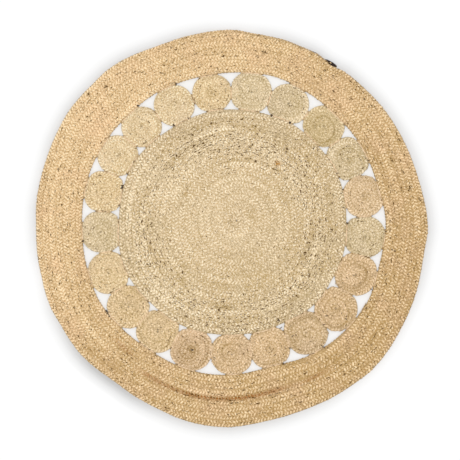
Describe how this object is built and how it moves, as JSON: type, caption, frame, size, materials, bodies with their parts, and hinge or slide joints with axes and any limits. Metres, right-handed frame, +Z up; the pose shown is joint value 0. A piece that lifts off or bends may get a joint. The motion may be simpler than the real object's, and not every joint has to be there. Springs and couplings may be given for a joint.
{
  "type": "round braided jute rug with a ring of small coils",
  "caption": "Round natural jute rug of coiled braid, with a ring of small coils set between its centre and its border.",
  "frame": {"origin": "middle of the rug's bounding box, on the floor that its flat underside lies on", "axes": "+Z up from the floor through the thickness; +Y towards the top of the picture and +X towards its right, in the plane of the rug"},
  "size_m": [0.8974, 0.9096, 0.008],
  "materials": {
    "border_jute": "natural golden jute braid, matt",
    "centre_jute": "natural pale jute braid with dark flecks, matt",
    "small_coil_jute": "natural jute braid, matt, each coil of its own tone",
    "dark_thread": "dark brown thread, matt"
  },
  "bodies": {
    "root": {"border_coil": "border_jute", "centre_coil": "centre_jute", "end_binding": "dark_thread", "small_coil_01": "small_coil_jute", "small_coil_02": "small_coil_jute", "small_coil_03": "small_coil_jute", "small_coil_04": "small_coil_jute", "small_coil_05": "small_coil_jute", "small_coil_06": "small_coil_jute", "small_coil_07": "small_coil_jute", "small_coil_08": "small_coil_jute", "small_coil_09": "small_coil_jute", "small_coil_10": "small_coil_jute", "small_coil_11": "small_coil_jute", "small_coil_12": "small_coil_jute", "small_coil_13": "small_coil_jute", "small_coil_14": "small_coil_jute", "small_coil_15": "small_coil_jute", "small_coil_16": "small_coil_jute", "small_coil_17": "small_coil_jute", "small_coil_18": "small_coil_jute", "small_coil_19": "small_coil_jute", "small_coil_20": "small_coil_jute", "small_coil_21": "small_coil_jute"}
  },
  "joints": []
}
